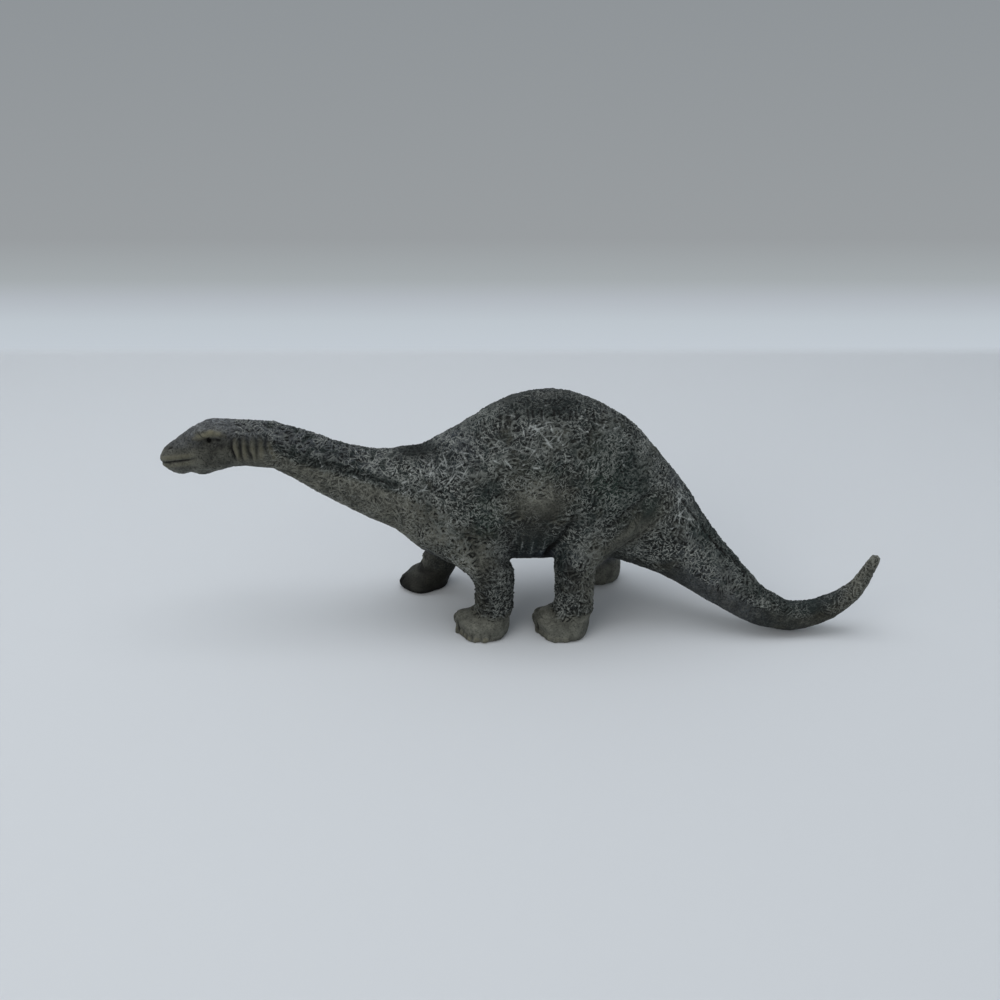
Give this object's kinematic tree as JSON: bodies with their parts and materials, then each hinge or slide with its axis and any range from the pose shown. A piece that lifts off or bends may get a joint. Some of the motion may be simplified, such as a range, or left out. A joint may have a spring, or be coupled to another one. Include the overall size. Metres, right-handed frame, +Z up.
{
  "type": "toy dinosaur figure",
  "caption": "Solid soft-vinyl long-necked dinosaur that strides on four column legs, with an arched back and a tail curved to the ground.",
  "frame": {"origin": "on the ground plane, under the middle of the figure's length and width", "axes": "+X from snout to tail, +Y to the animal's right, +Z up; the animal faces -X"},
  "size_m": [0.3583, 0.0806, 0.1218],
  "materials": {
    "painted_grey_vinyl": "matte grey-green paint with a pale dry-brushed skin texture",
    "painted_olive_vinyl": "matte grey-brown paint, olive on the feet"
  },
  "bodies": {
    "root": {"trunk": "painted_grey_vinyl", "neck_and_head": "painted_grey_vinyl", "tail": "painted_grey_vinyl", "left_foreleg": "painted_olive_vinyl", "right_foreleg": "painted_olive_vinyl", "left_hind_leg": "painted_olive_vinyl", "right_hind_leg": "painted_olive_vinyl"}
  },
  "joints": []
}
